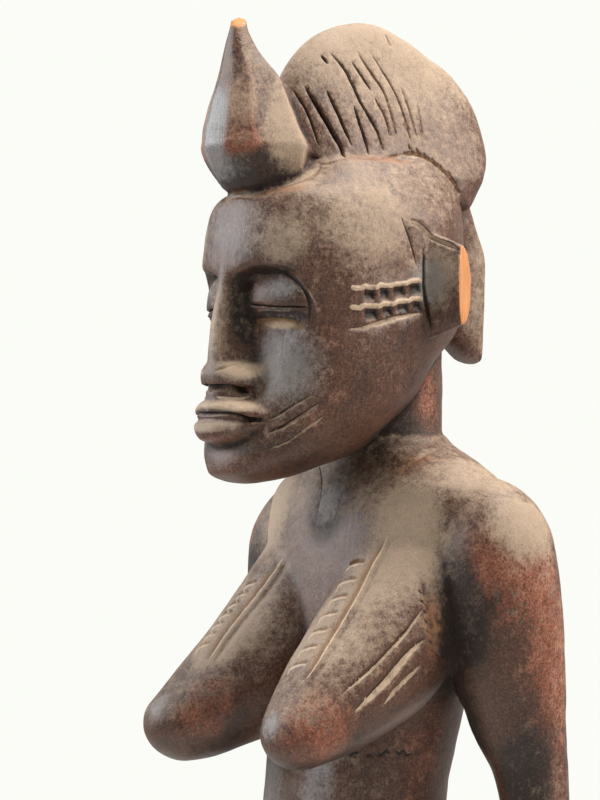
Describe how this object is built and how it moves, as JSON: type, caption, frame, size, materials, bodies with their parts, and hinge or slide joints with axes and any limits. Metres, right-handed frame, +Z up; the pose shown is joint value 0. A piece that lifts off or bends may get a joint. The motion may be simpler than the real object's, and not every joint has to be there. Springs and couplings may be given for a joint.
{
  "type": "senufo figure",
  "caption": "Standing female figure in the Senufo manner, carved with its low base from one log of dark wood, with a grooved crest, a faceted front knot of hair and raised scars.",
  "frame": {"origin": "centre of the flat underside of the base", "axes": "+Z up, the figure faces -Y, +X is the figure's own left"},
  "size_m": [0.1696, 0.1647, 0.6987],
  "materials": {
    "wood": "dark brown patina, worn red-brown on the edges and dusty grey-brown on top, satin sheen"
  },
  "bodies": {
    "root": {"figure": "wood"}
  },
  "joints": []
}
